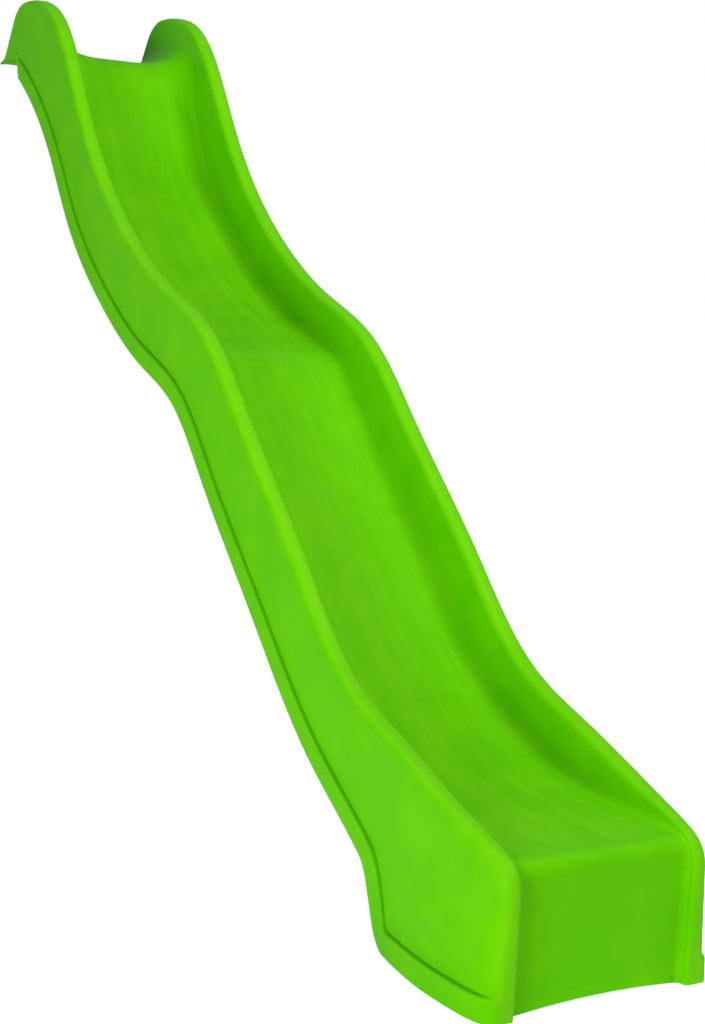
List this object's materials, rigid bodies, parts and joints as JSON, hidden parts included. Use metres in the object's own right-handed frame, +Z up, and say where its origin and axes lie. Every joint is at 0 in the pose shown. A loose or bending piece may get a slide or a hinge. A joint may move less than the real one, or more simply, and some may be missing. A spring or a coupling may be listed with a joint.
{
  "type": "playground slide",
  "caption": "Wavy straight-run play slide: moulded chute with raised hollow side walls, box outlet, humped top and deck lip, on hidden steel bearers.",
  "frame": {"origin": "on the ground, on the centre line, midway between the front of the legs and the rear end of the lip", "axes": "+Z up, +Y uphill towards the deck, X across the slide, which is symmetric about X = 0"},
  "size_m": [0.4478, 2.3128, 1.629],
  "materials": {
    "moulded_plastic": "semi-gloss moulded polyethylene, lime green through and through",
    "galvanised_steel": "hot-dip galvanised",
    "screw_steel": "zinc-plated"
  },
  "bodies": {
    "root": {"chute": "moulded_plastic", "bearer_1": "galvanised_steel", "bearer_screws_1": "screw_steel", "bearer_2": "galvanised_steel", "bearer_screws_2": "screw_steel", "bearer_3": "galvanised_steel", "bearer_screws_3": "screw_steel", "bearer_4": "galvanised_steel", "bearer_screws_4": "screw_steel", "bearer_5": "galvanised_steel", "bearer_screws_5": "screw_steel", "bearer_6": "galvanised_steel", "bearer_screws_6": "screw_steel", "bearer_7": "galvanised_steel", "bearer_screws_7": "screw_steel", "foot_tie": "galvanised_steel", "foot_tie_screws": "screw_steel"}
  },
  "joints": []
}
